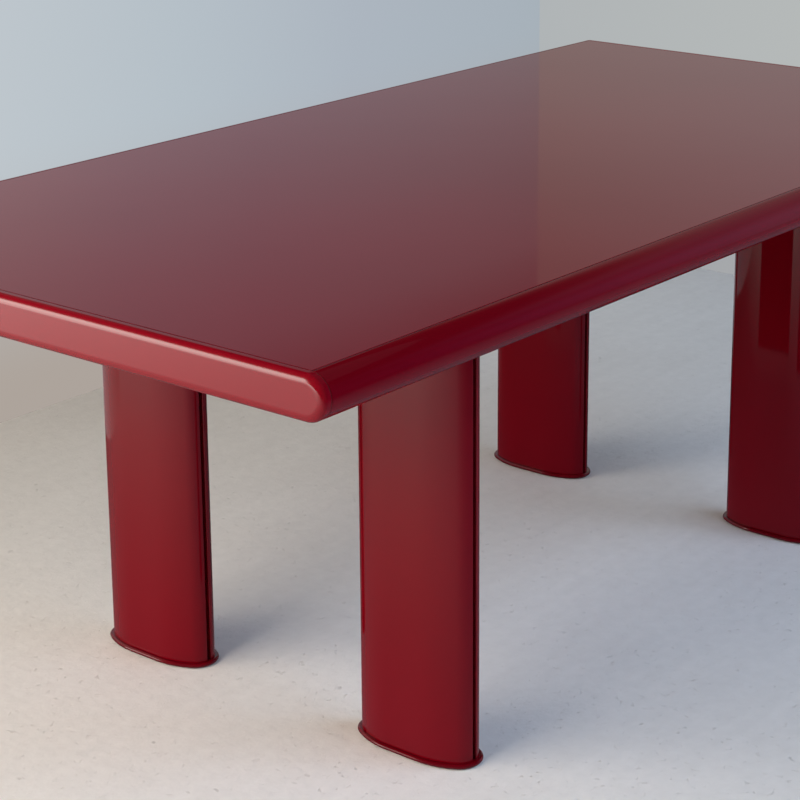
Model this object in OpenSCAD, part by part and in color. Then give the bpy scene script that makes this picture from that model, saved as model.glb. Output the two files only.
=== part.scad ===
// Lacquered dining table: a half-round edged top on four slotted oval legs.
// Millimetres. X runs along the table, Y across it, Z up, origin on the floor under its centre.

/* [Overall] */
// Length of the top, end to end
table_length = 2010; // [1700:10:2600]
// Width of the top, nose to nose
table_width = 1050; // [900:10:1200]
// Height of the top surface above the floor
table_height = 745; // [700:5:780]

/* [Top] */
// Thickness of the top; its long rails are half-round, so their width is half of this
top_thickness = 60; // [54:1:76]
// Thickness of an end rail, along the table
end_rail_t = 15; // [13:0.5:24]
// Radius round the outer edge of an end rail
end_rail_r = 8; // [4:0.5:10]
// Radius of the eased edges that meet in the groove round the panel
groove_r = 1.5; // [0.5:0.25:2.5]
// Thickness of the top panel
panel_t = 12; // [9:1:15]
// Thickness of the bottom panel
bottom_t = 9; // [6:1:12]

/* [Core] */
// Width of the solid bars that close the core behind the rails
core_bar_w = 28; // [22:1:45]
// Thickness of the core ribs
rib_t = 15; // [9:1:20]
// Size along the table of the block over each leg
block_length = 130; // [110:5:180]
// Size across the table of the block over each leg
block_width = 240; // [200:5:300]
// Thickness of the splines that join the rails to the core
spline_t = 4; // [3:0.5:6]
// Depth of the splines in a long rail and in the core bar behind it
side_spline_depth = 10; // [6:1:14]
// Depth of the splines in an end rail and in the core bar behind it
end_spline_depth = 7; // [4:0.5:8]
// Distance that a spline stops short of the panel's corners
spline_stop = 40; // [30:5:100]
// Diameter of the dowels between the rails
dowel_d = 8; // [6:1:10]
// Depth of a dowel in an end rail
dowel_end_depth = 9; // [6:0.5:10]
// Depth of a dowel in a long rail
dowel_side_depth = 22; // [15:1:35]
// Height between the two dowels of a corner
dowel_pitch = 24; // [18:1:30]
// Distance from a long edge of the top to the dowels
dowel_inset = 16.5; // [14:0.5:20]

/* [Legs] */
// Distance from an end of the top to the legs' centres
leg_inset_end = 492; // [300:1:600]
// Distance from a long edge of the top to the legs' centres
leg_inset_side = 263; // [200:1:320]
// Size of a leg across the table
leg_depth = 202; // [186:1:220]
// Size of a leg along the table
leg_width = 81; // [76:1:100]
// Length of the flat middle of a leg's two wide faces
leg_flat = 56; // [20:2:70]
// Radius of a leg's two noses
leg_nose_r = 28.5; // [27:0.5:34]
// Thickness of the curved shells
shell_t = 9; // [6:0.5:10]
// Width of the slot down each nose
slot_w = 7; // [4:0.5:10]
// Depth of the slot, down to the edge of the spine
slot_depth = 14; // [12:0.5:20]
// Radius of the shells' edges along the slot
slot_r = 1.5; // [0.5:0.25:2]
// Thickness of the spine between the shells
spine_t = 30; // [24:1:36]
// Thickness of the formers that the shells are glued to
former_t = 18; // [12:1:25]
// Number of formers up each side of a leg
former_count = 4; // [3:1:6]
// Distance that a former stops short of the spine's edges
former_stop = 9; // [5:1:20]

/* [Base] */
// Thickness of a base plate; its edge is half-round
base_t = 7; // [6:0.5:12]
// Distance that a base plate stands out beyond the leg
base_lip = 6.5; // [4:0.5:14]
// Thickness of the pads under the base plates
pad_t = 1; // [1:0.25:3]
// Distance that a pad stops short of the base plate's edge
pad_inset = 5; // [4:0.5:12]

/* [Fasteners] */
// Diameter of the tie rods
rod_d = 10; // [8:1:12]
// Distance between the two tie rods of a leg
rod_pitch = 100; // [80:2:120]
// Height that a tie rod reaches into the block
rod_reach = 21; // [16:1:24]
// Outer diameter of the threaded inserts
insert_d = 16; // [15:0.5:20]
// Length of the threaded inserts
insert_length = 25; // [18:1:28]
// Diameter of a sleeve nut's flat head
nut_head_d = 20; // [18:1:24]
// Thickness of a sleeve nut's flat head
nut_head_t = 2.5; // [2:0.5:3]
// Distance that a nut's head sits above the base plate's underside
nut_sink = 0.5; // [0.25:0.25:1]
// Length of a sleeve nut's barrel
nut_barrel_length = 28; // [20:1:40]
// Wall of a sleeve nut's barrel
nut_wall = 1; // [1:0.25:1.5]

/* [Fits] */
// Clearance round dowels, splines, threads and inserts
fit_gap = 0.1; // [0.05:0.05:0.2]
// Clearance round the tie rods' passages and the nuts' heads
bore_gap = 0.3; // [0.2:0.05:0.5]
// Glue line between the shells and what they wrap
glue_gap = 0.2; // [0.1:0.05:0.3]

/* [Hidden] */
$fn = 96;

// Colours
lacquer = [0.52, 0.07, 0.11];
plywood = [0.80, 0.66, 0.47];
timber = [0.72, 0.55, 0.36];
beech = [0.85, 0.70, 0.52];
steel = [0.66, 0.67, 0.69];
rubber = [0.10, 0.10, 0.10];

// How far a cutting tool runs past the face that it cuts
over = 1;

// Levels
underside_z = table_height - top_thickness;
core_z = underside_z + bottom_t;
panel_z = table_height - panel_t;
core_h = panel_z - core_z;
base_z = pad_t;
leg_z = base_z + base_t;
leg_h = underside_z - leg_z;

// Top: the rails' half-round nose and the panel that lies between the rails
nose_r = top_thickness / 2;
nose_y = table_width / 2 - nose_r;
nose_z = table_height - nose_r;
panel_x = table_length / 2 - end_rail_t;
panel_y = nose_y;
core_x = panel_x - core_bar_w;
core_y = panel_y - core_bar_w;
spline_z = nose_z - spline_t / 2;
dowel_y = table_width / 2 - dowel_inset;

// Legs: centres, and the oval: two flats, a wide arc at each of their ends, and two nose arcs
leg_x = table_length / 2 - leg_inset_end;
leg_y = table_width / 2 - leg_inset_side;
half_depth = leg_depth / 2;
half_width = leg_width / 2;
nose_c = half_depth - leg_nose_r;
flat_y = leg_flat / 2;
arc_y = nose_c - flat_y;
side_r = (half_width * half_width + arc_y * arc_y - leg_nose_r * leg_nose_r)
    / (2 * (half_width - leg_nose_r));
side_c = side_r - half_width;
field_start = 8;
spine_y = half_depth - slot_depth;
former_y = spine_y - former_stop;
former_step = (leg_h - former_t) / (former_count - 1);

// Core grid: a rib against each side of every block, one across the middle and one near each end
rib_near = leg_x - block_length / 2 - rib_t / 2;
rib_far = leg_x + block_length / 2 + rib_t / 2;
rib_end = (rib_far + core_x) / 2;
cross_rib_xs = [-rib_end, -rib_far, -rib_near, 0, rib_near, rib_far, rib_end];
long_rib_y = leg_y - block_width / 2 - rib_t / 2;
lap_h = core_h / 2;

// Fasteners
nut_bore_d = rod_d + 2 * fit_gap;
nut_barrel_d = nut_bore_d + 2 * nut_wall;
passage_d = nut_barrel_d + 2 * bore_gap;
nut_recess = nut_head_t + nut_sink;
nut_z = base_z + nut_sink;
nut_floor = 1;
rod_z = nut_z + nut_head_t + nut_floor;
rod_top = core_z + rod_reach;
drive_d = 8;
drive_depth = 2;

// Signs of the four legs: left or right along X, front or back along Y
LEGS = [[-1, -1], [1, -1], [-1, 1], [1, 1]];

// What a fillet of radius r takes off a corner at the origin whose solid lies in -X, -Y
module corner_waste(r) {
    difference() {
        translate([-r, -r]) square(r + over);
        translate([-r, -r]) circle(r);
    }
}

// Section through a rail's rim: radius along X, depth along Y, radii r0 and r1 at its two corners
module rim_section(radius, depth, r0, r1) {
    difference() {
        square([radius, depth]);
        translate([radius, 0]) mirror([0, 1]) corner_waste(r0);
        translate([radius, depth]) corner_waste(r1);
    }
}

// Half a round bar along X with its flat side on Y = 0, standing out to +Y
module half_round(radius, depth, r0, r1) {
    rotate([0, 90, 0]) rotate_extrude(angle = 180) rim_section(radius, depth, r0, r1);
}

// Box given by its lowest and highest corners
module block(low, high) {
    translate(low) cube([high[0] - low[0], high[1] - low[1], high[2] - low[2]]);
}

// Box centred on the Z axis, from z up
module plate(half_x, half_y, z, height) {
    block([-half_x, -half_y, z], [half_x, half_y, z + height]);
}

// Takes a long arris off along X at y, z
module ease_x(y, z, half) {
    translate([-half, y, z]) rotate([90, 0, 90]) linear_extrude(2 * half) corner_waste(groove_r);
}

// Takes an arris off along Y at x, z
module ease_y(x, z, half) {
    translate([x, half, z]) rotate([90, 0, 0]) linear_extrude(2 * half) corner_waste(groove_r);
}

// Both of a pair that face each other across the table's length
module mirrored_x() {
    children();
    mirror([1, 0, 0]) children();
}

// Both of a pair that face each other across the table's width
module mirrored_y() {
    children();
    mirror([0, 1, 0]) children();
}

module top_panel() {
    color(lacquer) difference() {
        plate(panel_x, panel_y, panel_z, panel_t);
        mirrored_y() ease_x(panel_y, table_height, panel_x + over);
        mirrored_x() ease_y(panel_x, table_height, panel_y + over);
    }
}

module bottom_panel() {
    color(lacquer) difference() {
        plate(panel_x, panel_y, underside_z, bottom_t);
        for (leg = LEGS) at_leg(leg) at_rods()
            translate([0, 0, underside_z - over]) cylinder(d = passage_d, h = bottom_t + 2 * over);
    }
}

// Groove for a spline, along X behind a long rail's flat side
module side_groove() {
    depth = side_spline_depth + fit_gap;
    block([-panel_x - over, panel_y - depth, spline_z - fit_gap],
        [panel_x + over, panel_y + depth, spline_z + spline_t + fit_gap]);
}

// Groove for a spline, along Y behind an end rail, stopped short of the noses
module end_groove() {
    depth = end_spline_depth + fit_gap;
    half = panel_y - spline_stop + fit_gap;
    block([panel_x - depth, -half, spline_z - fit_gap],
        [panel_x + depth, half, spline_z + spline_t + fit_gap]);
}

// The two dowels, or their holes, at the corner where both X and Y are positive
module corner_dowels(gap) {
    for (side = [-1, 1])
        translate([panel_x - dowel_side_depth - gap, dowel_y, nose_z + side * dowel_pitch / 2])
            rotate([0, 90, 0])
                cylinder(d = dowel_d + 2 * gap, h = dowel_side_depth + dowel_end_depth + 2 * gap);
}

module long_rail() {
    color(lacquer) difference() {
        translate([-panel_x, nose_y, nose_z])
            half_round(nose_r, 2 * panel_x, groove_r, groove_r);
        translate([0, 2 * panel_y, 0]) mirror([0, 1, 0])
            ease_x(panel_y, table_height, panel_x + over);
        side_groove();
        mirrored_x() corner_dowels(fit_gap);
    }
}

module front_rail() {
    mirror([0, 1, 0]) long_rail();
}

module back_rail() {
    long_rail();
}

// The right-hand end rail: a straight middle between two rounded noses
module end_rail() {
    color(lacquer) difference() {
        union() {
            translate([panel_x, nose_y, nose_z]) rotate([90, 0, 0]) linear_extrude(2 * nose_y)
                for (turn = [0, 1]) mirror([0, turn]) rotate(90) mirror([0, 1])
                    rim_section(nose_r, end_rail_t, groove_r, end_rail_r);
            mirrored_y() translate([panel_x, nose_y, nose_z])
                half_round(nose_r, end_rail_t, groove_r, end_rail_r);
        }
        end_groove();
        mirrored_y() corner_dowels(fit_gap);
    }
}

module left_end_rail() {
    mirror([1, 0, 0]) end_rail();
}

module right_end_rail() {
    end_rail();
}

module core_side_bars() {
    color(timber) mirrored_y() difference() {
        block([-panel_x, core_y, core_z], [panel_x, panel_y, panel_z]);
        side_groove();
    }
}

module core_end_bars() {
    color(timber) mirrored_x() difference() {
        block([core_x, -core_y, core_z], [panel_x, core_y, panel_z]);
        end_groove();
    }
}

// Long ribs keep their lower half where they cross the cross ribs
module long_ribs() {
    color(plywood) mirrored_y() difference() {
        block([-core_x, long_rib_y - rib_t / 2, core_z], [core_x, long_rib_y + rib_t / 2, panel_z]);
        for (x = cross_rib_xs)
            block([x - rib_t / 2, long_rib_y - rib_t, core_z + lap_h],
                [x + rib_t / 2, long_rib_y + rib_t, panel_z + over]);
    }
}

// Cross ribs keep their upper half where they cross the long ribs
module cross_ribs() {
    color(plywood) for (x = cross_rib_xs) difference() {
        block([x - rib_t / 2, -core_y, core_z], [x + rib_t / 2, core_y, panel_z]);
        mirrored_y() block([x - rib_t, long_rib_y - rib_t / 2, core_z - over],
            [x + rib_t, long_rib_y + rib_t / 2, core_z + lap_h]);
    }
}

module mount_blocks() {
    color(beech) for (leg = LEGS) at_leg(leg) difference() {
        plate(block_length / 2, block_width / 2, core_z, core_h);
        at_rods() translate([0, 0, core_z - over])
            cylinder(d = insert_d + 2 * fit_gap, h = insert_length + fit_gap + over);
    }
}

module side_splines() {
    color(beech) mirrored_y()
        block([spline_stop - panel_x, panel_y - side_spline_depth, spline_z],
            [panel_x - spline_stop, panel_y + side_spline_depth, spline_z + spline_t]);
}

module end_splines() {
    color(beech) mirrored_x()
        block([panel_x - end_spline_depth, spline_stop - panel_y, spline_z],
            [panel_x + end_spline_depth, panel_y - spline_stop, spline_z + spline_t]);
}

module rail_dowels() {
    color(beech) mirrored_x() mirrored_y() corner_dowels(0);
}

// Moves a leg's pieces to its place; outward along X is +X on the right-hand legs
module at_leg(leg) {
    translate([leg[0] * leg_x, leg[1] * leg_y, 0]) children();
}

// The places of a leg's two tie rods
module at_rods() {
    for (side = [-1, 1]) translate([0, side * rod_pitch / 2, 0]) children();
}

// Points on the two normals where the +Y end's wide arcs meet the nose arc, at a distance from its centre
function meeting(side, distance) =
    [0, nose_c] + [side * side_c, arc_y] / norm([side_c, arc_y]) * distance;

// Where the +Y end's wide arcs run: from the flats up to those normals
module wide_field() {
    polygon([[side_r, flat_y], meeting(1, side_r), meeting(1, field_start),
        meeting(-1, field_start), meeting(-1, side_r), [-side_r, flat_y]]);
}

// Where the +Y end's nose arc runs, beyond those normals
module nose_field() {
    polygon([meeting(1, field_start), meeting(1, side_r), [side_r, 2 * side_r],
        [-side_r, 2 * side_r], meeting(-1, side_r), meeting(-1, field_start)]);
}

// What the discs of the +Y end's two wide arcs share
module shared_by_wide_arcs() {
    intersection() {
        translate([side_c, flat_y, 0]) children();
        translate([-side_c, flat_y, 0]) children();
    }
}

// The leg's oval, grown by grow: two flats, a wide arc at each of their ends, and two nose arcs
module oval(grow) {
    square([leg_width + 2 * grow, leg_flat], center = true);
    mirrored_y() {
        intersection() {
            shared_by_wide_arcs() circle(side_r + grow);
            wide_field();
        }
        translate([0, nose_c]) circle(leg_nose_r + grow);
    }
}

// The same oval as a plate with a half-round edge, from z up
module round_edged_oval(grow, z, height) {
    translate([0, 0, z]) {
        translate([0, flat_y, 0]) rotate([90, 0, 0]) linear_extrude(leg_flat)
            mirrored_x() half_round_edge(half_width + grow, height);
        for (turn = [0, 180]) rotate(turn) {
            intersection() {
                shared_by_wide_arcs() rotate_extrude() half_round_edge(side_r + grow, height);
                translate([0, 0, -over]) linear_extrude(height + 2 * over) wide_field();
            }
            intersection() {
                translate([0, nose_c, 0])
                    rotate_extrude() half_round_edge(leg_nose_r + grow, height);
                translate([0, 0, -over]) linear_extrude(height + 2 * over) nose_field();
            }
        }
    }
}

// Section through a plate with a half-round edge: radius along X, height along Y
module half_round_edge(radius, height) {
    edge_r = height / 2;
    square([radius - edge_r, height]);
    intersection() {
        translate([radius - edge_r, edge_r]) circle(edge_r);
        square([radius, height]);
    }
}

// Section of the +X shell, whose edges along the two slots are rounded
module shell_section() {
    edge_x = slot_w / 2;
    // centre of the rounded edge, tangent to the slot's side and to the nose arc
    round_x = edge_x + slot_r;
    rise = sqrt(pow(leg_nose_r - slot_r, 2) - round_x * round_x);
    run = [round_x, rise] / (leg_nose_r - slot_r) * leg_nose_r;
    difference() {
        intersection() {
            oval(0);
            translate([edge_x, -half_depth]) square([half_width, leg_depth]);
        }
        oval(-shell_t);
        for (side = [-1, 1]) scale([1, side]) polygon([[edge_x - over, nose_c + rise],
            [edge_x, nose_c + rise], [run[0], nose_c + run[1]],
            [run[0], half_depth + over], [edge_x - over, half_depth + over]]);
    }
    for (side = [-1, 1]) translate([round_x, side * (nose_c + rise)]) circle(slot_r);
}

// The shell on the +X side of a leg
module shell() {
    color(lacquer) translate([0, 0, leg_z]) linear_extrude(leg_h) shell_section();
}

module outer_shell(leg) {
    at_leg(leg) mirror([leg[0] > 0 ? 0 : 1, 0, 0]) shell();
}

module inner_shell(leg) {
    at_leg(leg) mirror([leg[0] > 0 ? 1 : 0, 0, 0]) shell();
}

module spine(leg) {
    color(lacquer) at_leg(leg) difference() {
        translate([0, 0, leg_z]) linear_extrude(leg_h) intersection() {
            oval(-shell_t - glue_gap);
            square([spine_t, 2 * spine_y], center = true);
        }
        at_rods() translate([0, 0, leg_z - over]) cylinder(d = passage_d, h = leg_h + 2 * over);
    }
}

module formers(leg) {
    color(plywood) at_leg(leg) for (level = [0 : former_count - 1])
        translate([0, 0, leg_z + level * former_step]) linear_extrude(former_t)
            mirrored_x() intersection() {
                oval(-shell_t - glue_gap);
                translate([spine_t / 2, -former_y]) square([half_width, 2 * former_y]);
            }
}

module base_plate(leg) {
    color(lacquer) at_leg(leg) difference() {
        round_edged_oval(base_lip, base_z, base_t);
        at_rods() {
            translate([0, 0, base_z - over]) cylinder(d = passage_d, h = base_t + 2 * over);
            translate([0, 0, base_z - over])
                cylinder(d = nut_head_d + 2 * bore_gap, h = nut_recess + over);
        }
    }
}

module tie_rods() {
    color(steel) for (leg = LEGS) at_leg(leg) at_rods()
        translate([0, 0, rod_z]) cylinder(d = rod_d, h = rod_top - rod_z);
}

module sleeve_nuts() {
    color(steel) for (leg = LEGS) at_leg(leg) at_rods() translate([0, 0, nut_z]) difference() {
        union() {
            cylinder(d = nut_head_d, h = nut_head_t);
            cylinder(d = nut_barrel_d, h = nut_head_t + nut_barrel_length);
        }
        translate([0, 0, nut_head_t + nut_floor])
            cylinder(d = nut_bore_d, h = nut_barrel_length + over);
        translate([0, 0, -over]) cylinder(d = drive_d, h = drive_depth + over, $fn = 6);
    }
}

module threaded_inserts() {
    color(steel) for (leg = LEGS) at_leg(leg) at_rods() translate([0, 0, core_z]) difference() {
        cylinder(d = insert_d, h = insert_length);
        translate([0, 0, -over]) cylinder(d = nut_bore_d, h = insert_length + 2 * over);
    }
}

module foot_pads() {
    color(rubber) for (leg = LEGS) at_leg(leg) linear_extrude(pad_t) difference() {
        oval(base_lip - pad_inset);
        at_rods() circle(d = nut_head_d + 4 * bore_gap);
    }
}

top_panel();
bottom_panel();
front_rail();
back_rail();
left_end_rail();
right_end_rail();
core_side_bars();
core_end_bars();
long_ribs();
cross_ribs();
mount_blocks();
side_splines();
end_splines();
rail_dowels();
outer_shell(LEGS[0]);  // front_left_outer_shell
inner_shell(LEGS[0]);  // front_left_inner_shell
spine(LEGS[0]);  // front_left_spine
formers(LEGS[0]);  // front_left_formers
base_plate(LEGS[0]);  // front_left_base_plate
outer_shell(LEGS[1]);  // front_right_outer_shell
inner_shell(LEGS[1]);  // front_right_inner_shell
spine(LEGS[1]);  // front_right_spine
formers(LEGS[1]);  // front_right_formers
base_plate(LEGS[1]);  // front_right_base_plate
outer_shell(LEGS[2]);  // back_left_outer_shell
inner_shell(LEGS[2]);  // back_left_inner_shell
spine(LEGS[2]);  // back_left_spine
formers(LEGS[2]);  // back_left_formers
base_plate(LEGS[2]);  // back_left_base_plate
outer_shell(LEGS[3]);  // back_right_outer_shell
inner_shell(LEGS[3]);  // back_right_inner_shell
spine(LEGS[3]);  // back_right_spine
formers(LEGS[3]);  // back_right_formers
base_plate(LEGS[3]);  // back_right_base_plate
tie_rods();
sleeve_nuts();
threaded_inserts();
foot_pads();
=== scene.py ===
"""A rectangular dining table in deep red gloss lacquer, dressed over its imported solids.

Metres, +Z up, X along the table and Y across it, with the origin on the floor under its centre.
"""

import math

import bpy
import numpy as np
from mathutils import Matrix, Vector


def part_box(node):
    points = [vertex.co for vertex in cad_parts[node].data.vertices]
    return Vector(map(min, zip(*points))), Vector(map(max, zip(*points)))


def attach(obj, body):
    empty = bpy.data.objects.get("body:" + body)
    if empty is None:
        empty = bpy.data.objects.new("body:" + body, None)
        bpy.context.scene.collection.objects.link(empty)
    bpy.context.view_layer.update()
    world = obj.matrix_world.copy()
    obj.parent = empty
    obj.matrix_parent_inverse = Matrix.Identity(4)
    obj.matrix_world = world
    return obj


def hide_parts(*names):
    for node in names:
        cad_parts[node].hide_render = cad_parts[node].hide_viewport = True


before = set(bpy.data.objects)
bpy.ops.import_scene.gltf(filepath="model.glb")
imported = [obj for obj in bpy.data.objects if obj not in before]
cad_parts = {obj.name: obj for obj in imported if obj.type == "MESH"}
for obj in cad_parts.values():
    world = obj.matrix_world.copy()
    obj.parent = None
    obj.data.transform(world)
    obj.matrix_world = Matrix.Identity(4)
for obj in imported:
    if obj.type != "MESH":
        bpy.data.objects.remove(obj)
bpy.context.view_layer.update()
scene = bpy.context.scene
MM = 0.001

# The view: a long lens at standing height, off the front left corner of the table.
# Its optical axis lies up and right of the picture's centre, which the shift carries.
CAMERA_PLACE = (-2.76203, -2.09137, 1.54057)
CAMERA_DOWN = 15.16
CAMERA_TURN = 52.14
camera = bpy.data.objects.new("camera", bpy.data.cameras.new("camera"))
camera.location = CAMERA_PLACE
camera.rotation_euler = (math.radians(90 - CAMERA_DOWN), 0, math.radians(-CAMERA_TURN))
camera.data.sensor_width = 36
camera.data.lens = 99.09
camera.data.shift_x = -0.0798
camera.data.shift_y = -0.1968
scene.collection.objects.link(camera)
scene.camera = camera

# The room: a pale concrete floor that fades into haze, and two plastered walls behind the table, which
# glow on the room's side and are clear from behind. To the gloss of the lacquer floor and walls show
# by a light of their own, bright towards a window beyond the left end and dark beyond the near side.
FLOOR_SPAN = 40
WALL_BACK_Y = 1.28
WALL_RIGHT_X = 1.90
WALL_HEIGHT = 3.2
BACK_WALL_RUN = 3.2
RIGHT_WALL_RUN = 12
HAZE = (0.46, 0.48, 0.50, 1)
HAZE_NEAR = 3
HAZE_FAR = 8


def flat_stage(name, corners):
    """One rectangle through four corners, wound so that its face looks at the table."""
    mesh = bpy.data.meshes.new(name)
    mesh.from_pydata(corners, [], [(0, 1, 2, 3)])
    obj = bpy.data.objects.new(name, mesh)
    scene.collection.objects.link(obj)
    return obj


def node(tree, kind, inputs=(), **settings):
    """A shader node with some settings, and with inputs by name or number: a value, or a socket to link."""
    made = tree.nodes.new("ShaderNode" + kind)
    for key, value in settings.items():
        setattr(made, key, value)
    for key, value in dict(inputs).items():
        if isinstance(value, bpy.types.NodeSocket):
            tree.links.new(value, made.inputs[key])
        else:
            made.inputs[key].default_value = value
    return made


def math_node(tree, operation, *values):
    """The result of one Math node."""
    return node(tree, "Math", dict(enumerate(values)), operation=operation).outputs[0]


def between(tree, value, low, high, low_to=0.0, high_to=1.0):
    """A value carried from one range to another, straight between the ends and level outside."""
    return node(tree, "MapRange", {"Value": value, "From Min": low, "From Max": high,
                                   "To Min": low_to, "To Max": high_to}).outputs["Result"]


def mixed(tree, factor, first, second, blend="MIX"):
    """Two colours mixed by a factor."""
    return node(tree, "Mix", {"Factor": factor, 6: first, 7: second},
                data_type="RGBA", blend_type=blend).outputs[2]


def shaded(tree, colour, value):
    """A colour made lighter or darker by a value."""
    return node(tree, "VectorMath", {0: colour, "Scale": value}, operation="SCALE").outputs[0]


def ramp(tree, value, stops):
    """Colour of a value between stops, each a place from 0 to 1 and a linear colour."""
    made = node(tree, "ValToRGB", {"Fac": value})
    elements = made.color_ramp.elements
    while len(elements) < len(stops):
        elements.new(1)
    for element, (place, colour) in zip(elements, stops):
        element.position = place
        element.color = (*colour, 1)
    return made.outputs["Color"]


def noise(tree, vector, scale, detail=2.0, roughness=0.5):
    """Values of a fractal noise, about 0.5 on average."""
    return node(tree, "TexNoise", {"Vector": vector, "Scale": scale, "Detail": detail,
                                   "Roughness": roughness}).outputs["Fac"]


def stretched(tree, vector, scale, turn=(0, 0, 0)):
    """Coordinates scaled, and turned in degrees, by a Mapping node."""
    turn = tuple(math.radians(angle) for angle in turn)
    return node(tree, "Mapping", {"Vector": vector, "Scale": scale, "Rotation": turn}).outputs[0]


def shader(name, **values):
    """A material whose Principled shader has these constant values, sockets named with _ for spaces."""
    material = bpy.data.materials.new(name)
    material.use_nodes = True
    principled = material.node_tree.nodes["Principled BSDF"]
    for socket, value in values.items():
        principled.inputs[socket.replace("_", " ")].default_value = value
    return material, material.node_tree, principled


def finish_shader(tree, principled, colour, roughness, height, distance, strength=1.0):
    """Links a colour, a roughness if it varies, and a bump as deep as a distance, to a Principled shader."""
    bump = node(tree, "Bump", {"Height": height, "Distance": distance, "Strength": strength})
    for socket, result in (("Base Color", colour), ("Roughness", roughness), ("Normal", bump.outputs[0])):
        if result is not None:
            tree.links.new(result, principled.inputs[socket])


def levels(tree, value, stops):
    """Light along a line: a ramp whose stops are real places in metres, each with a linear colour."""
    low, high = stops[0][0], stops[-1][0]
    return ramp(tree, between(tree, value, low, high),
                [((place - low) / (high - low), colour) for place, colour in stops])


def grey(*stops):
    """Stops of a colourless ramp, from pairs of a place and a level."""
    return [(place, (level, level, level)) for place, level in stops]


# The floor's painted reflection, a glow that the lacquer mirrors in place of the lit floor: a pool of light
# that is its level along X times its level across Y, a dim band across Y added to it, and a pale corner.
# Places are in metres.
POOL_LEVEL = 5.5
POOL_ALONG = [(-4, (1.0, 1.0, 0.93)), (-3, (0.82, 0.82, 0.78)), (-2.25, (0.47, 0.47, 0.45)),
              (-1.75, (0.37, 0.37, 0.35)), (-1.25, (0.24, 0.24, 0.22)), (-0.75, (0.105, 0.105, 0.1)),
              (-0.25, (0.02, 0.02, 0.022)), (0.25, (0.006, 0.006, 0.006)), (1, (0, 0, 0))]
POOL_ACROSS = grey((-3, 0.01), (-2, 0.032), (-1.5, 0.06), (-1, 0.112), (-0.5, 0.18), (0, 0.26),
                   (0.5, 0.34), (1, 0.4), (2, 0.64), (3, 1))
NEAR_FLOOR = [(-3, (0.01, 0.01, 0.03)), (-2, (0.06, 0.06, 0.10)), (-1.5, (0.1, 0.1, 0.15)),
              (-1, (0.12, 0.12, 0.17)), (-0.5, (0.12, 0.12, 0.16)), (0, (0.05, 0.05, 0.07)),
              (0.5, (0.03, 0.03, 0.04)), (1.2, (0.02, 0.02, 0.02))]
CORNER_POOL = (0.56, 0.56, 0.62)
CORNER_ALONG = (0.4, 1.3)
CORNER_ACROSS = (0.6, 1.1)

half = FLOOR_SPAN / 2
floor = flat_stage("floor", [(-half, -half, 0), (half, -half, 0), (half, half, 0), (-half, half, 0)])
concrete, tree, principled = shader("pale_concrete", Roughness=0.62)
place = node(tree, "TexCoord").outputs["Object"]
clouds = ramp(tree, noise(tree, place, 1.6, 5, 0.55),
              [(0.3, (0.77, 0.76, 0.74)), (0.7, (0.82, 0.815, 0.80))])
grit = between(tree, noise(tree, place, 38, 6, 0.6), 0.3, 0.7, 0.965, 1.02)
strokes = noise(tree, stretched(tree, place, (3, 34, 1), (0, 0, 35)), 1, 3)
swept = between(tree, strokes, 0.35, 0.7, 0.985, 1.012)
nicks = between(tree, noise(tree, place, 70, 6, 0.75), 0.60, 0.68)
marked = math_node(tree, "SUBTRACT", math_node(tree, "MULTIPLY", grit, swept),
                   math_node(tree, "MULTIPLY", nicks, 0.035))
marks = node(tree, "CombineColor", {0: marked, 1: marked, 2: marked}).outputs[0]
rough = math_node(tree, "SUBTRACT", noise(tree, place, 60, 4, 0.6), nicks)
finish_shader(tree, principled, mixed(tree, 1, clouds, marks, "MULTIPLY"), None, rough, 2 * MM, 0.6)
rays = node(tree, "LightPath").outputs
distance = node(tree, "VectorMath", {0: place}, operation="LENGTH").outputs["Value"]
away = between(tree, distance, HAZE_NEAR, HAZE_FAR)
haze = node(tree, "Emission", {"Color": HAZE})
seen = node(tree, "MixShader", {0: math_node(tree, "MULTIPLY", away, rays["Is Camera Ray"]),
                                1: principled.outputs[0], 2: haze.outputs[0]})
axes = node(tree, "SeparateXYZ", {0: place}).outputs
# Painted reflection: for glossy rays the floor glows with these pools of light in place of its lit colour
window_pool = mixed(tree, 1, levels(tree, axes[0], POOL_ALONG), levels(tree, axes[1], POOL_ACROSS),
                    "MULTIPLY")
window_pool = shaded(tree, window_pool, POOL_LEVEL)
corner = math_node(tree, "MULTIPLY", between(tree, axes[0], *CORNER_ALONG),
                   between(tree, axes[1], *CORNER_ACROSS))
pools = mixed(tree, 1, window_pool, levels(tree, axes[1], NEAR_FLOOR), "ADD")
pools = mixed(tree, 1, pools, shaded(tree, CORNER_POOL, corner), "ADD")
pools = node(tree, "Emission", {"Color": pools})
whole = node(tree, "MixShader", {0: rays["Is Glossy Ray"], 1: seen.outputs[0], 2: pools.outputs[0]})
tree.links.new(whole.outputs[0], tree.nodes["Material Output"].inputs["Surface"])
floor.data.materials.append(concrete)

wall_left_x = WALL_RIGHT_X - BACK_WALL_RUN
wall_near_y = WALL_BACK_Y - RIGHT_WALL_RUN
back_wall = flat_stage("back_wall", [
    (wall_left_x, WALL_BACK_Y, 0), (WALL_RIGHT_X, WALL_BACK_Y, 0),
    (WALL_RIGHT_X, WALL_BACK_Y, WALL_HEIGHT), (wall_left_x, WALL_BACK_Y, WALL_HEIGHT)])
right_wall = flat_stage("right_wall", [
    (WALL_RIGHT_X, WALL_BACK_Y, 0), (WALL_RIGHT_X, wall_near_y, 0),
    (WALL_RIGHT_X, wall_near_y, WALL_HEIGHT), (WALL_RIGHT_X, WALL_BACK_Y, WALL_HEIGHT)])
# The share of a wall's glow that lights the object, and the heights between which the painted shade at its
# foot ends
WALL_LIGHT = 0.3
FOOT_LOW = 0.05
FOOT_HIGH = 0.6
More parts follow.
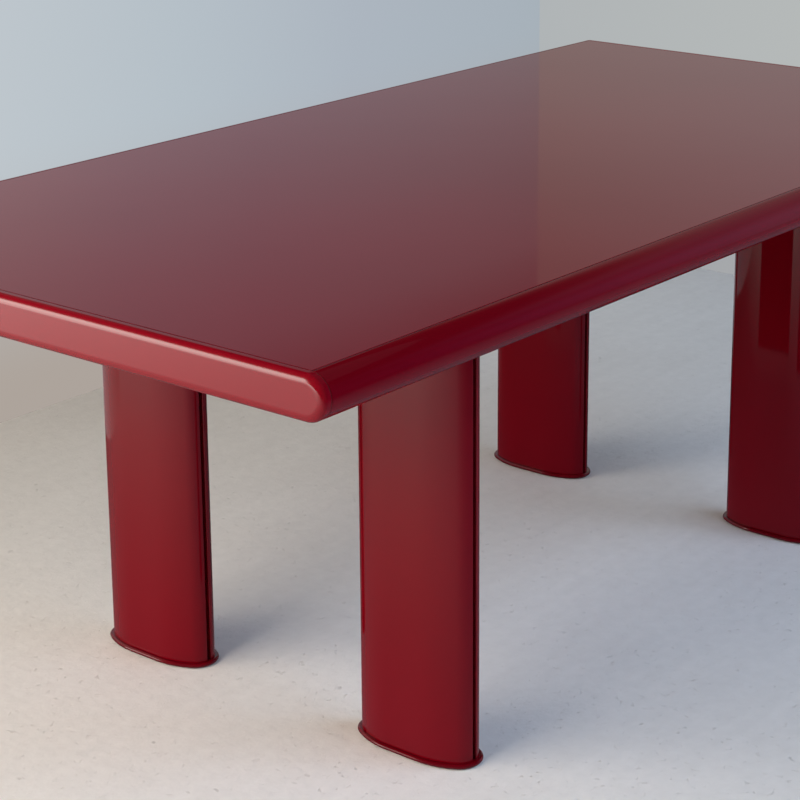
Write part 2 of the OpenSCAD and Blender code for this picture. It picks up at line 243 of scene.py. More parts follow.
# Each wall's painted light along its run, a painted shade at its foot and its glow above, and its painted
# reflection in the lacquer along that run and up its height
BACK_FOOT_SHADE = [(0, (0.42, 0.37, 0.33)), (1, (0.40, 0.36, 0.34))]
BACK_COLOURS = [(0, (0.52, 0.57, 0.61)), (0.3, (0.465, 0.525, 0.575)), (0.6, (0.415, 0.465, 0.525)),
                (1, (0.385, 0.44, 0.49))]
BACK_MIRRORED = [(-1.3, (0.79, 0.79, 0.71)), (-0.4, (0.58, 0.59, 0.59)), (0, (0.48, 0.5, 0.53)),
                 (0.4, (0.4, 0.43, 0.48)), (0.8, (0.36, 0.39, 0.44)), (1.9, (0.35, 0.38, 0.40))]
BACK_MIRRORED_UP = grey((0, 0.7), (0.3, 0.8), (0.6, 0.93), (0.9, 1), (1.1, 0.84), (1.3, 0.69), (1.5, 0.57),
                        (1.7, 0.3), (1.9, 0.22), (2.1, 0.17), (2.3, 0.08), (2.5, 0.015), (3.2, 0))
RIGHT_FOOT_SHADE = [(0, (0.37, 0.38, 0.395)), (1, (0.385, 0.395, 0.41))]
RIGHT_COLOURS = [(0, (0.435, 0.46, 0.47)), (1, (0.48, 0.50, 0.49))]
RIGHT_MIRRORED = [(-4, (0, 0, 0)), (-3, (0.02, 0.025, 0.08)), (-2.5, (0.06, 0.08, 0.19)),
                  (-2, (0.13, 0.17, 0.31)), (-1.5, (0.22, 0.28, 0.41)), (-1, (0.32, 0.36, 0.46)),
                  (-0.5, (0.38, 0.41, 0.46)), (0, (0.41, 0.42, 0.42)), (1.28, (0.38, 0.37, 0.35))]
RIGHT_MIRRORED_UP = grey((0, 0.6), (0.3, 0.75), (0.6, 0.92), (0.9, 1), (1.1, 0.95), (1.3, 0.8), (1.5, 0.65),
                         (1.7, 0.5), (1.9, 0.49), (2.1, 0.47), (2.3, 0.31), (2.5, 0.13), (2.8, 0.03),
                         (3.2, 0.02))


def plaster(name, axis, run, foot_shade, colours, mirrored_along, mirrored_up):
    """A glowing wall painted with light and shade: its colours near the floor, a darker painted shade, and
    above it along its run, and, in the gloss of the lacquer, a painted reflection along its run and up its
    height. It lights the object by a part of its glow."""
    material, tree, principled = shader(name)
    tree.nodes.remove(principled)
    geometry = node(tree, "NewGeometry").outputs
    axes = node(tree, "SeparateXYZ", {0: geometry["Position"]}).outputs
    along = between(tree, axes[axis], *run)
    rise = node(tree, "MapRange", {"Value": axes[2], "From Min": FOOT_LOW, "From Max": FOOT_HIGH},
                interpolation_type="SMOOTHSTEP").outputs["Result"]
    colour = mixed(tree, rise, ramp(tree, along, foot_shade), ramp(tree, along, colours))
    rays = node(tree, "LightPath").outputs
    colour = shaded(tree, colour, between(tree, rays["Is Diffuse Ray"], 0, 1, 1, WALL_LIGHT))
    mirrored = mixed(tree, 1, levels(tree, axes[axis], mirrored_along), levels(tree, axes[2], mirrored_up),
                     "MULTIPLY")
    glow = node(tree, "Emission", {"Color": mixed(tree, rays["Is Glossy Ray"], colour, mirrored)})
    clear = node(tree, "BsdfTransparent")
    shown = node(tree, "MixShader", {0: geometry["Backfacing"], 1: glow.outputs[0], 2: clear.outputs[0]})
    tree.links.new(shown.outputs[0], tree.nodes["Material Output"].inputs["Surface"])
    return material


back_wall.data.materials.append(plaster(
    "back_plaster", 0, (0, WALL_RIGHT_X), BACK_FOOT_SHADE, BACK_COLOURS, BACK_MIRRORED, BACK_MIRRORED_UP))
right_wall.data.materials.append(plaster(
    "right_plaster", 1, (WALL_BACK_Y, 0), RIGHT_FOOT_SHADE, RIGHT_COLOURS, RIGHT_MIRRORED, RIGHT_MIRRORED_UP))
for wall in (back_wall, right_wall):
    wall.visible_shadow = False

# The light: soft panels high and low beyond the near side and beyond the left end, none of which the
# lacquer mirrors. The background is pale to the camera and dark to the gloss, but for two glows: the
# window, low beyond the left end's far corner, and a small lamp, high beyond the near side.
WARM = (1.0, 0.88, 0.74)
COOL = (0.63, 0.80, 1.06)
NEUTRAL = (0.85, 0.85, 0.85)
AIM = Vector((0, 0, 0.4))
LAMPS = (
    ("front_panel", (0.5, -3.5, 3.0), (3, 3), 84, COOL),
    ("low_front_panel", (-0.6, -3.2, 1.0), (3, 1.2), 12, NEUTRAL),
    ("far_panel", (2, -3, 3), (2, 2), 42, COOL),
    ("left_panel", (-3.5, 0.5, 2.6), (2, 2), 55, WARM),
    ("far_left_panel", (-5, -0.5, 2.2), (2, 2), 30, NEUTRAL),
    ("back_left_panel", (-3, 2.5, 2.2), (2, 2), 60, WARM),
    ("window", (-3.4, 1.8, 1.4), (2.0, 1.6), 24, WARM),
    ("low_panel", (-2.7, 0.2, 0.6), (1.0, 0.8), 14, WARM))
for name, spot, size, power, colour in LAMPS:
    lamp = bpy.data.lights.new(name, "AREA")
    lamp.shape = "RECTANGLE"
    lamp.size, lamp.size_y = size
    lamp.energy = power
    lamp.color = colour
    obj = bpy.data.objects.new(name, lamp)
    obj.location = spot
    obj.rotation_euler = (AIM - obj.location).to_track_quat("-Z", "Y").to_euler()
    obj.visible_camera = False
    obj.visible_glossy = False
    scene.collection.objects.link(obj)

world = bpy.data.worlds.new("studio")
scene.world = world
world.use_nodes = True
tree = world.node_tree
facing = node(tree, "TexCoord").outputs["Generated"]
WORLD_DIM = (0.045, 0.05, 0.06, 1)
# Each glow's direction, its level, and its ramp over the cosine of the angle from that direction
WINDOW_GLOW = ((-0.718, 0.693, 0.07), 7, [
    (0.85, (0, 0, 0)), (0.93, (0.015, 0.015, 0.015)), (0.962, (0.08, 0.08, 0.075)),
    (0.98, (0.42, 0.42, 0.38)), (0.993, (1, 1, 0.92))])
LAMP_GLOW = ((0.679, -0.611, 0.407), 12, [(0.9962, (0, 0, 0)), (0.9985, (0.9, 0.9, 1))])
dim = WORLD_DIM
for direction, level, stops in (WINDOW_GLOW, LAMP_GLOW):
    near = node(tree, "VectorMath", {0: facing, 1: direction}, operation="DOT_PRODUCT")
    dim = mixed(tree, 1, dim, shaded(tree, ramp(tree, near.outputs["Value"], stops), level), "ADD")
rays = node(tree, "LightPath").outputs
dim = node(tree, "Background", {"Color": shaded(tree, dim, rays["Is Glossy Ray"])})
pale = node(tree, "Background", {"Color": HAZE})
whole = node(tree, "MixShader", {0: rays["Is Camera Ray"], 1: dim.outputs[0], 2: pale.outputs[0]})
tree.links.new(whole.outputs[0], tree.nodes["World Output"].inputs["Surface"])
scene.view_settings.view_transform = "Standard"

# The top panel: a flat board, lacquered all over, whose upper arris is eased so that a fine groove
# shows between it and the rails.
EASE_R = 1.5 * MM
HAIR = 0.15 * MM
FINE_EASE_R = 0.3 * MM


def corners(name):
    """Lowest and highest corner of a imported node, to a hundredth of a millimetre."""
    return [[round(value, 5) for value in corner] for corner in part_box(name)]


panel_low, (PANEL_HALF_X, PANEL_HALF_Y, TOP_Z) = corners("top_panel")
PANEL_T = round(TOP_Z - panel_low[2], 5)


def eased(thickness, low_r, high_r, steps=10, high_reach=None):
    """Edge of a slab: distances along its thickness, how far inside the outline each lies, how much each is
    worn, and how far each has turned from the flat to the side. Each end is a quarter circle, or a quarter
    ellipse that reaches further over the flat, with a point a hair beyond it so that the flats stay flat."""
    turn = np.linspace(0, math.pi / 2, steps + 1)
    worn, side = np.sin(2 * turn), np.sin(turn)
    reach = high_reach or high_r
    low = np.stack([low_r * (1 - np.cos(turn)), low_r * (1 - side), worn, side], 1)
    high = np.stack([thickness - high_r * (1 - np.cos(turn)), reach * (1 - side), worn, side], 1)[::-1]
    flat = [(low_r + HAIR, 0, 0, 1), (thickness - high_r - HAIR, 0, 0, 1)]
    if thickness - low_r - high_r < 3 * HAIR:
        low, flat = low[:-1], []
    return np.array([(0, low_r + HAIR, 0, 0), *low, *flat, *high, (thickness, reach + HAIR, 0, 0)])


def skin(rings):
    """Quads between neighbouring closed rings, from an array of shape (rings, points, 3)."""
    count, points = rings.shape[:2]
    here = np.arange(count * points).reshape(count, points)
    quads = np.stack([here[:-1], np.roll(here, -1, 1)[:-1], np.roll(here, -1, 1)[1:], here[1:]], -1)
    return quads.reshape(-1, 4)


def lofted(rings):
    """Points and faces of a solid through rings: the skin, and a flat face on each end."""
    count, points = rings.shape[:2]
    last = np.arange((count - 1) * points, count * points)
    faces = [*skin(rings).tolist(), np.arange(points)[::-1].tolist(), last.tolist()]
    return rings.reshape(-1, 3), faces


def add_piece(name, points, faces, worn, material, slot, nodes, signs=(1, 1), groove_shade=None):
    """A smooth piece that stands for CAD nodes, and keeps how much each point of it is worn, and how dark a
    painted shade in the grooves makes it.
    A sign of -1 mirrors it in X or Y and rewinds its faces."""
    if signs[0] * signs[1] < 0:
        faces = [face[::-1] for face in faces]
    mesh = bpy.data.meshes.new(name)
    mesh.from_pydata(points * [signs[0], signs[1], 1], [], faces)
    mesh.polygons.foreach_set("use_smooth", np.ones(len(faces), bool))
    mesh.set_sharp_from_angle(angle=math.radians(35))
    if groove_shade is None:
        groove_shade = np.zeros(len(points))
    for label, values in (("worn", worn), ("groove_shade", groove_shade)):
        attribute = mesh.attributes.new(label, "FLOAT", "POINT")
        attribute.data.foreach_set("value", np.ravel(values).astype(np.float32))
    mesh.materials.append(material)
    obj = bpy.data.objects.new(name, mesh)
    scene.collection.objects.link(obj)
    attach(obj, "root")
    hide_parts(*nodes)


def rectangle(half_x, half_y, profile, z):
    """Rings of a rectangular slab: the outline's four corners drawn in by each step of the profile."""
    corner = np.array([(-1, -1), (1, -1), (1, 1), (-1, 1)])
    size = np.array([half_x, half_y]) - profile[:, 1, None]
    flat = corner[None] * size[:, None]
    height = np.broadcast_to(z + profile[:, 0, None, None], (len(profile), 4, 1))
    return np.concatenate([flat, height], -1)


def node_group(name, inputs, outputs):
    """An empty group of shader nodes with these sockets: its tree, what comes in and what goes out."""
    tree = bpy.data.node_groups.new(name, "ShaderNodeTree")
    for label, kind, value in inputs:
        socket = tree.interface.new_socket(label, in_out="INPUT", socket_type="NodeSocket" + kind)
        socket.default_value = value
    for label, kind in outputs:
        tree.interface.new_socket(label, in_out="OUTPUT", socket_type="NodeSocket" + kind)
    return tree, tree.nodes.new("NodeGroupInput").outputs, tree.nodes.new("NodeGroupOutput").inputs


# Sprayed lacquer: faint clouds in the colour and fine pigment, wiping marks and a haze in the gloss, dust
# nibs, orange peel and a slow swell in the film, thin colour on worn arrises, small chips to the primer,
# and a painted shade, near-black, at the bottom of the grooves.
SWELL_HEIGHT = 0.22 * MM
PEEL_HEIGHT = 0.0035 * MM
NIB_HEIGHT = 0.02 * MM
# How many times deeper a chip is than a nib is high
CHIP_DEPTH = 8
sprayed, entry, leave = node_group("sprayed_lacquer", [
    ("Colour", "Color", (0.17, 0.001, 0.007, 1)), ("Thin Colour", "Color", (0.3, 0.012, 0.02, 1)),
    ("Primer", "Color", (0.45, 0.27, 0.25, 1)), ("Groove Shade", "Color", (0.012, 0.001, 0.002, 1)),
    ("Gloss", "Float", 0.04), ("Wear", "Float", 0.5), ("Chips", "Float", 0.3)],
    [("Color", "Color"), ("Roughness", "Float"), ("Height", "Float")])
place = node(sprayed, "TexCoord").outputs["Object"]
worn = node(sprayed, "Attribute", attribute_name="worn").outputs["Fac"]
clouds = between(sprayed, noise(sprayed, place, 1.9, 3), 0.3, 0.7, 0.95, 1.05)
pigment = between(sprayed, noise(sprayed, place, 520, 2), 0.3, 0.7, 0.985, 1.015)
colour = shaded(sprayed, entry["Colour"], math_node(sprayed, "MULTIPLY", clouds, pigment))
breaks = between(sprayed, noise(sprayed, place, 24, 4, 0.6), 0.42, 0.62)
thin = math_node(sprayed, "MULTIPLY", math_node(sprayed, "MULTIPLY", worn, breaks), entry["Wear"])
colour = mixed(sprayed, thin, colour, entry["Thin Colour"])
spots = between(sprayed, noise(sprayed, place, 95, 3, 0.7), 0.73, 0.76)
chipped = math_node(sprayed, "MULTIPLY", math_node(sprayed, "MULTIPLY", worn, spots), entry["Chips"])
colour = mixed(sprayed, chipped, colour, entry["Primer"])
# Painted shade: a near-black colour at the bottom of the grooves between the panel and the rails, where
# shadow falls
groove_shade = node(sprayed, "Attribute", attribute_name="groove_shade").outputs["Fac"]
colour = mixed(sprayed, groove_shade, colour, entry["Groove Shade"])
wiped = between(sprayed, noise(sprayed, stretched(sprayed, place, (3, 46, 46), (0, 0, 12)), 1, 3),
                0.45, 0.8, 0, 0.03)
hazy = between(sprayed, noise(sprayed, place, 5, 4, 0.6), 0.45, 0.75, 0, 0.035)
nibs = node(sprayed, "TexVoronoi", {"Vector": place, "Scale": 55, "Randomness": 1}).outputs["Distance"]
nib = between(sprayed, nibs, 0.025, 0.012)
roughness = math_node(sprayed, "ADD", entry["Gloss"], math_node(sprayed, "ADD", wiped, hazy))
roughness = math_node(sprayed, "ADD", roughness, math_node(sprayed, "MULTIPLY", nib, 0.12))
roughness = math_node(sprayed, "ADD", roughness, math_node(sprayed, "MULTIPLY", chipped, 0.4))
roughness = math_node(sprayed, "ADD", roughness, math_node(sprayed, "MULTIPLY", groove_shade, 0.6))
swell = math_node(sprayed, "MULTIPLY", noise(sprayed, place, 4.5, 1), SWELL_HEIGHT)
peel = math_node(sprayed, "MULTIPLY", noise(sprayed, place, 330, 1), PEEL_HEIGHT)
pits = math_node(sprayed, "MULTIPLY", chipped, CHIP_DEPTH)
raised = math_node(sprayed, "MULTIPLY", math_node(sprayed, "SUBTRACT", nib, pits), NIB_HEIGHT)
height = math_node(sprayed, "ADD", math_node(sprayed, "ADD", swell, peel), raised)
for socket, result in (("Color", colour), ("Roughness", roughness), ("Height", height)):
    sprayed.links.new(result, leave[socket])


def coated(name, ior, **values):
    """A material in sprayed lacquer, with its own values for the group's sockets, named with _ for spaces."""
    material, tree, principled = shader(name, IOR=ior)
    coat = node(tree, "Group", node_tree=sprayed)
    for socket, value in values.items():
        coat.inputs[socket.replace("_", " ")].default_value = value
    finish_shader(tree, principled, coat.outputs["Color"], coat.outputs["Roughness"],
                  coat.outputs["Height"], 1)
    return material


LACQUER_IOR = 1.5
RAIL_RED = (0.16, 0.0006, 0.0055, 1)
# Painted light: the top and the end bands are given a lighter red than the rails, legs and underside, so that
# they show brighter
top_lacquer = coated("top_lacquer", LACQUER_IOR, Colour=(0.195, 0.0008, 0.009, 1), Gloss=0.03, Wear=0.1,
                     Chips=0)
profile = eased(PANEL_T, FINE_EASE_R, EASE_R)
rings = rectangle(PANEL_HALF_X, PANEL_HALF_Y, profile, TOP_Z - PANEL_T)
worn = np.broadcast_to(profile[:, 2, None], rings.shape[:2])
# Painted shade on the panel's edge, down in the groove beside the rails
groove_shade = np.broadcast_to(np.clip((profile[:, 3, None] - 0.45) / 0.3, 0, 1), rings.shape[:2])
add_piece("top_board", *lofted(rings), worn, top_lacquer, "lacquered_wood", ["top_panel"], groove_shade=groove_shade)

# The long rails: half-round bars along both sides, flat against the core, with every arris eased
# where they meet the panel and the end rails.
NOSE_R = 30 * MM
NOSE_Z = TOP_Z - NOSE_R


def arc(centre, radius, start, end, steps):
    """Points on a circle from one angle to another, in degrees."""
    turn = np.radians(np.linspace(start, end, steps + 1))
    return np.stack([centre[0] + radius * np.cos(turn), centre[1] + radius * np.sin(turn)], -1)


def half_round(inset):
    """Section of a long rail: the nose arc, drawn in by an inset, an eased upper arris and a flat back.
    Counter-clockwise from the foot of the back, with how much each point is worn, and how dark the painted
    shade in the groove makes it, as a third and a fourth value."""
    radius = NOSE_R - inset
    lean = math.degrees(math.asin(EASE_R / (radius - EASE_R)))
    rise = math.sqrt((radius - EASE_R) ** 2 - EASE_R ** 2)
    nose = arc((0, 0), radius, -90, 90 - lean, 72)
    ease = arc((EASE_R, rise), EASE_R, 90 - lean, 180, 12)[1:]
    worn = [*np.zeros(len(nose)), *np.sin(np.linspace(0, math.pi, len(ease))), 0, 0]
    # Painted shade on the eased arris beside the panel, down in the groove
    groove_shade = [*np.zeros(len(nose)), *np.clip(np.linspace(-1.2, 1.8, len(ease)), 0, 1), 1, 0]
    outline = np.concatenate([nose, ease, [(0, rise - HAIR), (0, HAIR - radius)]])
    return np.column_stack([outline, worn, groove_shade])


profile = eased(2 * PANEL_HALF_X, EASE_R, EASE_R)
section = np.stack([half_round(inset) for inset in profile[:, 1]])
along = np.broadcast_to(profile[:, 0, None] - PANEL_HALF_X, section.shape[:2])
# Y, Z, X keeps the winding of a section that is drawn in X, Y and carried along Z
rings = np.stack([along, PANEL_HALF_Y + section[..., 0], NOSE_Z + section[..., 1]], -1)
worn = np.maximum(section[..., 2], profile[:, 2, None])
# Painted shade also towards the rails' ends, in the grooves beside the end bands
groove_shade = np.maximum(section[..., 3], np.clip((0.7 - profile[:, 3, None]) / 0.3, 0, 1))
rail_lacquer = coated("rail_lacquer", LACQUER_IOR, Colour=RAIL_RED, Gloss=0.03, Wear=0.6)
for name, sign in (("front", -1), ("back", 1)):
    add_piece(name + "_long_rail", *lofted(rings), worn, rail_lacquer, "lacquered_wood",
              [name + "_rail"], (1, sign), groove_shade)

# The end rails: flat-faced bands across the full width, round at both ends like the long rails' noses,
# with a rounded shoulder all round their outer face that runs out softly over its flat.
END_RAIL_T = round(corners("right_end_rail")[1][0] - PANEL_HALF_X, 5)
SHOULDER_R = 8 * MM
SHOULDER_REACH = 12 * MM


def band(inset):
    """Outline of an end rail, drawn in by an inset: two straight runs between two half circles."""
    radius = NOSE_R - inset
    near = PANEL_HALF_Y - MM
    right, left = (PANEL_HALF_Y, 0), (-PANEL_HALF_Y, 0)
    return np.concatenate([
        arc(right, radius, -90, 90, 72), [(near, radius), (-near, radius)],
        arc(left, radius, 90, 270, 72), [(-near, -radius), (near, -radius)]])


profile = eased(END_RAIL_T, EASE_R, SHOULDER_R, 20, SHOULDER_REACH)
outline = np.stack([band(inset) for inset in profile[:, 1]])
along = np.broadcast_to(PANEL_HALF_X + profile[:, 0, None], outline.shape[:2])
rings = np.stack([along, outline[..., 0], NOSE_Z + outline[..., 1]], -1)
worn = np.broadcast_to(np.where(profile[:, 0] < EASE_R, profile[:, 2], 0)[:, None], rings.shape[:2])
# Painted shade on the inner arris, in the grooves beside the panel and the long rails
groove_shade = np.where(profile[:, 0] < EASE_R, np.clip((0.7 - profile[:, 3]) / 0.3, 0, 1), 0)
groove_shade = np.broadcast_to(groove_shade[:, None], rings.shape[:2])
# Painted light: a lighter red than the rails', so that the end bands show brighter
end_lacquer = coated("end_lacquer", LACQUER_IOR, Colour=(0.2, 0.0012, 0.0075, 1), Gloss=0.03, Wear=0.6)
for name, sign in (("left", -1), ("right", 1)):
    add_piece(name + "_end_band", *lofted(rings), worn, end_lacquer, "lacquered_wood",
              [name + "_end_rail"], (sign, 1), groove_shade)

# The legs: two curved shells each, bent round a spine and its formers, with their edges rounded
# where they stop short of each other and leave a dark slot down both noses.
LEG_FOOT_Z, LEG_HEAD_Z = (corner[2] for corner in corners("front_left_outer_shell"))
LEG_X = 513 * MM
LEG_Y = 262 * MM
LEGS = (("front_left", -LEG_X, -LEG_Y), ("front_right", LEG_X, -LEG_Y),
        ("back_left", -LEG_X, LEG_Y), ("back_right", LEG_X, LEG_Y))
OVAL_HALF_Y = 101 * MM
OVAL_HALF_X = 40.5 * MM
OVAL_NOSE_R = 28.5 * MM
FLAT_Y = 28 * MM
SHELL_T = 9 * MM
SLOT_HALF = 3.5 * MM
SLOT_R = 1.5 * MM
nose_c = OVAL_HALF_Y - OVAL_NOSE_R
arc_y = nose_c - FLAT_Y
wide_r = (OVAL_HALF_X ** 2 + arc_y ** 2 - OVAL_NOSE_R ** 2) / (2 * (OVAL_HALF_X - OVAL_NOSE_R))
wide_c = wide_r - OVAL_HALF_X
turn_over = math.degrees(math.atan2(arc_y, wide_c))


def shell_side(grow, end):
    """The +X side of the oval, grown all round: a flat with a wide arc at each end, between two nose arcs
    that stop at an angle."""
    x, radius, nose = OVAL_HALF_X + grow, wide_r + grow, OVAL_NOSE_R + grow
    return np.concatenate([
        arc((0, -nose_c), nose, -end, -turn_over, 24)[:-1],
        arc((-wide_c, -FLAT_Y), radius, -turn_over, 0, 18), [(x, HAIR - FLAT_Y), (x, FLAT_Y - HAIR)],
        arc((-wide_c, FLAT_Y), radius, 0, turn_over, 18),
        arc((0, nose_c), nose, turn_over, end, 24)[1:]])


round_x = SLOT_HALF + SLOT_R
rise = math.sqrt((OVAL_NOSE_R - SLOT_R) ** 2 - round_x ** 2)
outer_end = math.degrees(math.atan2(rise, round_x))
inner_r = OVAL_NOSE_R - SHELL_T
inner_end = math.degrees(math.acos(SLOT_HALF / inner_r))
edge = arc((round_x, nose_c + rise), SLOT_R, outer_end, 180, 12)[1:]
section = np.concatenate([
    shell_side(0, outer_end), edge, [(SLOT_HALF, nose_c + rise - HAIR)],
    shell_side(-SHELL_T, inner_end)[::-1],
    [(SLOT_HALF, HAIR - nose_c - rise)], edge[::-1] * [1, -1]])
levels = np.array([LEG_FOOT_Z, LEG_FOOT_Z + HAIR, LEG_HEAD_Z - HAIR, LEG_HEAD_Z])
flat = np.broadcast_to(section, (len(levels), *section.shape))
rings = np.concatenate([flat, np.broadcast_to(levels[:, None, None], (*flat.shape[:2], 1))], -1)
rounded = np.sin(np.linspace(0, math.pi, len(edge)))
side_points = len(shell_side(0, outer_end))
worn = np.zeros(len(section))
worn[side_points:side_points + len(edge)] = rounded
worn[-len(edge):] = rounded[::-1]
worn = np.broadcast_to(worn, flat.shape[:2])
leg_lacquer = coated("leg_lacquer", LACQUER_IOR, Colour=RAIL_RED, Gloss=0.05, Wear=0.4)
for corner, leg_x, leg_y in LEGS:
    for side, sign in (("outer", math.copysign(1, leg_x)), ("inner", -math.copysign(1, leg_x))):
        points, faces = lofted(rings + [sign * leg_x, leg_y, 0])
        add_piece(f"{corner}_{side}_curve", points, faces, worn, leg_lacquer, "lacquered_wood",
                  [f"{corner}_{side}_shell"], (sign, 1))

# The base plates: ovals a little larger than the legs, cut from steel sheet with a half-round edge,
# and held up by two nuts each, whose heads sit in recesses in the underside.
PLATE_Z = 1 * MM
PLATE_T = 7 * MM
PLATE_LIP = 6.5 * MM
ROD_Y = 50 * MM
RECESS_R = 10.3 * MM
RECESS_T = 3 * MM
PASSAGE_R = 6.4 * MM
HOLE_STEPS = 48


def oval(grow):
    """The leg's whole outline grown all round, counter-clockwise from the tip of the -Y nose."""
    side = shell_side(grow, 90)[:-1]
    return np.concatenate([side, -side])


def bored_slab(profile, grow, z, bore):
    """An oval slab with two round holes. The bore is a list of (radius, height), from the underside up.
    Both flats are cut in two along the line through the holes, so that no face has a hole in it."""
    outline = np.stack([oval(grow - inset) for inset in profile[:, 1]])
    height = np.broadcast_to(z + profile[:, 0, None, None], (*outline.shape[:2], 1))
    rings = np.concatenate([outline, height], -1)
    worn = np.zeros(rings[..., 0].size + 2 * HOLE_STEPS * len(bore))
    worn[:rings[..., 0].size] = np.repeat(profile[:, 2], rings.shape[1])
    points, faces = [rings.reshape(-1, 3)], skin(rings).tolist()
    count, size = outline.shape[:2]
    steps = HOLE_STEPS
    start = count * size
    holes = []
    for centre in (-ROD_Y, ROD_Y):
        circle = arc((0, centre), 1, -90, 270, steps)[:-1] - [0, centre]
        wall = np.stack([np.column_stack([circle * r + [0, centre], np.full(steps, h)]) for r, h in bore])
        faces += (skin(wall)[:, ::-1] + start).tolist()
        points.append(wall.reshape(-1, 3))
        holes.append(np.arange(start, start + len(bore) * steps).reshape(len(bore), steps))
        start += len(bore) * steps
    tip, middle = size // 2, steps // 2
    for ring, level, turned in ((0, 0, True), (count - 1, len(bore) - 1, False)):
        rim = np.arange(ring * size, (ring + 1) * size)
        low, high = holes[0][level], holes[1][level]
        right = [*rim[:tip + 1], *high[:middle + 1][::-1], *low[:middle + 1][::-1]]
        left = [*rim[tip:], rim[0], low[0], *low[middle:][::-1], high[0], *high[middle:][::-1]]
        for face in (right, left):
            face = [int(i) for i in face]
            faces.append(face[::-1] if turned else face)
    return np.concatenate(points), faces, worn


profile = eased(PLATE_T, PLATE_T / 2, PLATE_T / 2, 12)
bore = [(RECESS_R, PLATE_Z), (RECESS_R, PLATE_Z + RECESS_T), (PASSAGE_R, PLATE_Z + RECESS_T),
        (PASSAGE_R, PLATE_Z + PLATE_T)]
points, faces, worn = bored_slab(profile, PLATE_LIP, PLATE_Z, bore)
plate_lacquer = coated("plate_lacquer", LACQUER_IOR, Colour=(0.105, 0.0003, 0.004, 1), Gloss=0.08,
                       Wear=0.12, Chips=1)
for corner, leg_x, leg_y in LEGS:
    add_piece(corner + "_foot_plate", points + [leg_x, leg_y, 0], faces, worn, plate_lacquer,
              "lacquered_steel", [corner + "_base_plate"])

# The pads: 1 mm sheet rubber glued under the base plates, a little smaller than they are, with
# holes for the heads of the nuts.
PAD_T = 1 * MM
PAD_LIP = 1.5 * MM
PAD_HOLE_R = 10.6 * MM
profile = eased(PAD_T, 0.1 * MM, 0.1 * MM, 3)
points, faces, worn = bored_slab(profile, PAD_LIP, 0, [(PAD_HOLE_R, 0), (PAD_HOLE_R, PAD_T)])
pads = [(points + [x, y, 0], faces) for x in (-LEG_X, LEG_X) for y in (-LEG_Y, LEG_Y)]
all_points = np.concatenate([p for p, _ in pads])
all_faces = [[i + k * len(points) for i in face] for k in range(len(pads)) for face in faces]
rubber, tree, principled = shader("sheet_rubber", IOR=1.5)
place = node(tree, "TexCoord").outputs["Object"]
bloom = ramp(tree, noise(tree, place, 40, 5, 0.6),
             [(0.35, (0.012, 0.012, 0.012)), (0.75, (0.035, 0.034, 0.033))])
dull = between(tree, noise(tree, place, 160, 3), 0.3, 0.7, 0.7, 0.9)
finish_shader(tree, principled, bloom, dull, noise(tree, place, 900, 2), 0.3 * MM)
add_piece("sheet_pads", all_points, all_faces, np.tile(worn, len(pads)), rubber, "rubber", ["foot_pads"])

# The underside and what the legs and the top hold inside, which show as they are packed. The board that
# closes the underside and the spines in the slots are lacquered as the rest, and the others are left raw.
under_lacquer = coated("under_lacquer", LACQUER_IOR, Colour=RAIL_RED, Gloss=0.12, Wear=0.0)

grain, entry, leave = node_group("timber_grain", [
    ("Early", "Color", (0.7, 0.5, 0.3, 1)), ("Late", "Color", (0.5, 0.3, 0.15, 1)),
    ("Along", "Vector", (1, 20, 20)), ("Flecks", "Float", 0.2)],
    [("Color", "Color"), ("Roughness", "Float"), ("Height", "Float")])
place = node(grain, "TexCoord").outputs["Object"]
run = node(grain, "VectorMath", {0: place, 1: entry["Along"]}, operation="MULTIPLY").outputs[0]
rings_fac = node(grain, "TexWave", {"Vector": run, "Scale": 3.0, "Distortion": 6.0, "Detail": 3.0,
                                    "Detail Scale": 0.8}, wave_type="BANDS").outputs["Fac"]
fibres = noise(grain, run, 12, 5, 0.65)
pores = between(grain, noise(grain, run, 60, 2), 0.6, 0.68)
colour = mixed(grain, between(grain, rings_fac, 0.35, 0.95), entry["Early"], entry["Late"])
colour = shaded(grain, colour, between(grain, fibres, 0.3, 0.7, 0.88, 1.1))
flecked = math_node(grain, "MULTIPLY", pores, entry["Flecks"])
colour = shaded(grain, colour, math_node(grain, "SUBTRACT", 1.0, flecked))
for socket, result in (("Color", colour), ("Roughness", between(grain, fibres, 0.3, 0.7, 0.55, 0.75)),
                       ("Height", math_node(grain, "SUBTRACT", fibres, flecked))):
    grain.links.new(result, leave[socket])


def sawn(name, early, late, along, flecks):
    """A raw timber material: its two colours, how coordinates stretch along the grain, and its flecks."""
    material, tree, principled = shader(name)
    wood = node(tree, "Group", {"Early": early, "Late": late, "Along": along, "Flecks": flecks},
                node_tree=grain)
    finish_shader(tree, principled, wood.outputs["Color"], wood.outputs["Roughness"], wood.outputs["Height"],
                  0.4 * MM, 0.6)
    return material, tree, principled, wood


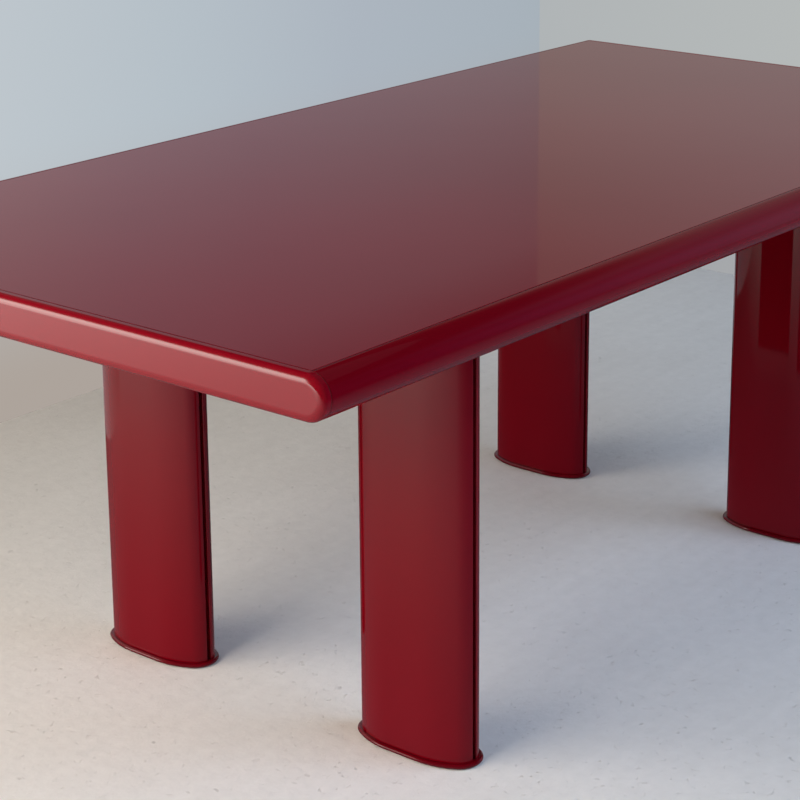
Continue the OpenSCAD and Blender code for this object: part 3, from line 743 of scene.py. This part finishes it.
PINE = (0.62, 0.42, 0.22, 1), (0.42, 0.22, 0.09, 1)
BEECH = (0.58, 0.38, 0.24, 1), (0.48, 0.28, 0.16, 1)
VENEER_T = 1.4 * MM
RAW_TIMBER = {}
for name, early, late, along, flecks in (
        ("pine_along_x", *PINE, (1, 22, 22), 0.1), ("pine_along_y", *PINE, (22, 1, 22), 0.1),
        ("beech_along_x", *BEECH, (2, 26, 26), 0.5), ("beech_along_y", *BEECH, (26, 2, 26), 0.5),
        ("birch_ply", (0.62, 0.46, 0.29, 1), (0.52, 0.36, 0.2, 1), (3, 8, 30), 0.15)):
    RAW_TIMBER[name], tree, principled, wood = sawn(name, early, late, along, flecks)
    if name == "birch_ply":
        height = node(tree, "SeparateXYZ", {0: node(tree, "TexCoord").outputs["Object"]}).outputs[2]
        ply = math_node(tree, "PINGPONG", height, VENEER_T)
        glue = between(tree, ply, 0.22 * MM, 0.32 * MM, 0.55, 1.0)
        tree.links.new(shaded(tree, wood.outputs["Color"], glue), principled.inputs["Base Color"])

zinc, tree, principled = shader("bright_zinc", Metallic=1.0)
place = node(tree, "TexCoord").outputs["Object"]
turned = noise(tree, stretched(tree, place, (30, 30, 900)), 1, 3)
passivated = ramp(tree, noise(tree, place, 60, 4), [(0.3, (0.60, 0.62, 0.66)), (0.7, (0.74, 0.74, 0.70))])
polish = between(tree, turned, 0.3, 0.7, 0.22, 0.38)
finish_shader(tree, principled, passivated, polish, turned, 0.1 * MM)

for material, names in (
        (under_lacquer, ["bottom_panel"] + [corner + "_spine" for corner, _, _ in LEGS]),
        (RAW_TIMBER["pine_along_x"], ["core_side_bars"]), (RAW_TIMBER["pine_along_y"], ["core_end_bars"]),
        (RAW_TIMBER["birch_ply"],
         ["long_ribs", "cross_ribs"] + [corner + "_formers" for corner, _, _ in LEGS]),
        (RAW_TIMBER["beech_along_y"], ["mount_blocks", "end_splines"]),
        (RAW_TIMBER["beech_along_x"], ["side_splines", "rail_dowels"]),
        (zinc, ["tie_rods", "sleeve_nuts", "threaded_inserts"])):
    for name in names:
        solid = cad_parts[name]
        solid.data.materials.clear()
        solid.data.materials.append(material)
